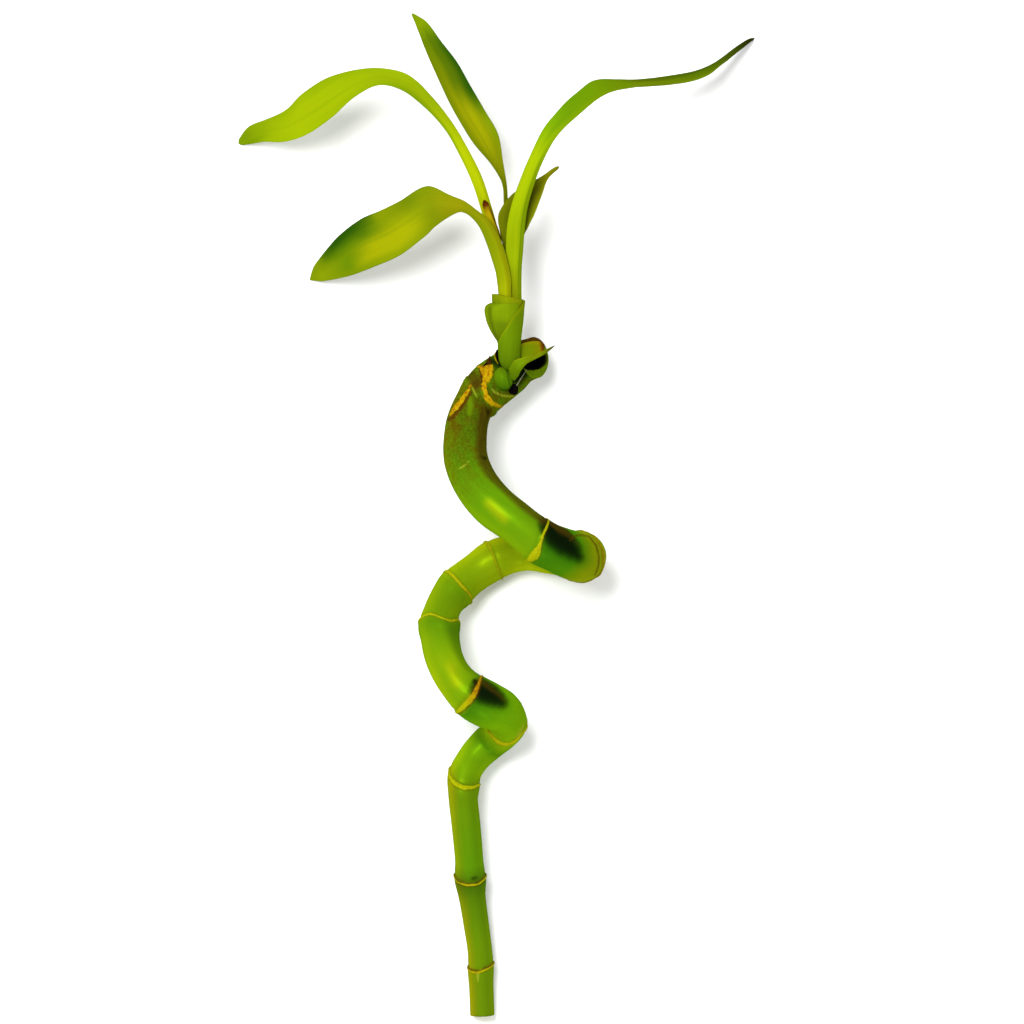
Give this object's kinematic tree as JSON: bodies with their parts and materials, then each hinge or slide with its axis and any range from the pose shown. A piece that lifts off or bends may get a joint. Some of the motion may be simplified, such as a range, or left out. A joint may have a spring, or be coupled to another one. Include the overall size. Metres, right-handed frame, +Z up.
{
  "type": "spiral lucky bamboo cane",
  "caption": "Cut cane of lucky bamboo trained into a spiral, with leaf scars and a sheathed leafy shoot near its cut top, lying on its coil, foot and leaf tips.",
  "frame": {"origin": "on the surface it lies on, below the middle of the whole object's box", "axes": "+Y along the cane from its cut foot towards the leaves, +Z up from the surface, +X to the side of the long right leaf"},
  "size_m": [0.2085, 0.4032, 0.0661],
  "materials": {
    "cane": "smooth waxy green skin with yellow leaf scars",
    "sheath": "satin green leaf sheath with fine lengthwise ribs",
    "leaf": "satin green leaf with parallel veins",
    "dry_scale": "dry brown papery scale"
  },
  "bodies": {
    "root": {"cane": "cane", "shoot": "sheath", "bud": "sheath", "bract": "sheath", "leaf_lower_left": "leaf", "leaf_upper_left": "leaf", "leaf_top": "leaf", "leaf_right": "leaf", "leaf_small": "leaf", "dry_tip": "dry_scale"}
  },
  "joints": []
}
